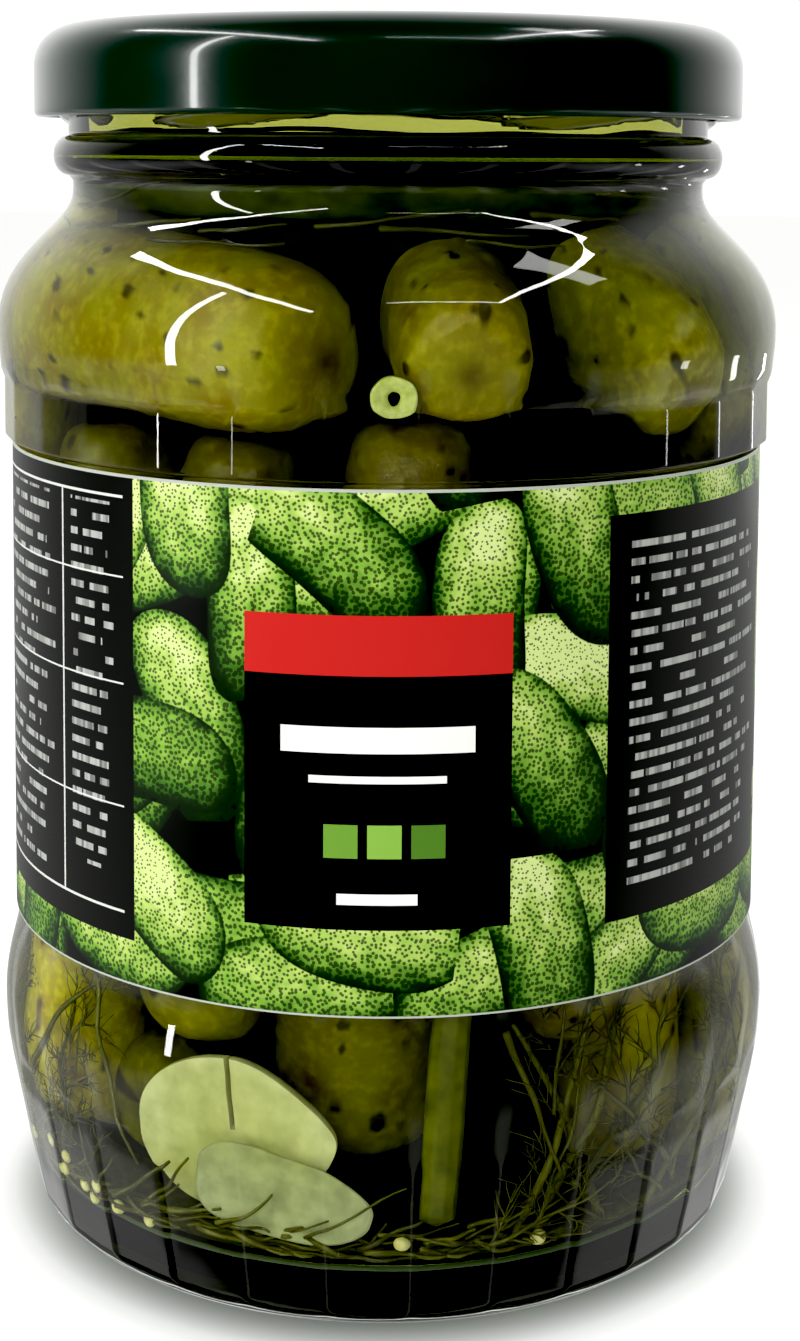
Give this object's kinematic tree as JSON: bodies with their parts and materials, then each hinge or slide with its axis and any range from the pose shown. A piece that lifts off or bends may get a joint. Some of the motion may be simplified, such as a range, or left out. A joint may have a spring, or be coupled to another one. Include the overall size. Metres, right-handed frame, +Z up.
{
  "type": "pickle jar",
  "caption": "Shut glass twist-off jar of pickled gherkins with garlic, dill and mustard seed, lacquered steel lid and printed wrap label.",
  "frame": {"origin": "middle of the base, on the surface that the jar stands on", "axes": "+Z up along the jar's axis, the front of the label looks along -Y, +X to the right of the front view"},
  "size_m": [0.0942, 0.0942, 0.1423],
  "materials": {
    "glass": "clear, glossy",
    "lacquered_steel": "glossy dark green lacquer",
    "printed_paper": "coated, satin",
    "gherkin": "moist vegetable skin",
    "garlic": "moist cut flesh",
    "stem": "moist pale stem"
  },
  "bodies": {
    "root": {"jar": "glass", "lid": "lacquered_steel", "label": "printed_paper", "pickles": "gherkin", "garlic_half_upper": "garlic", "garlic_half_lower": "garlic", "stalk": "stem", "stem_ring": "stem"}
  },
  "joints": []
}
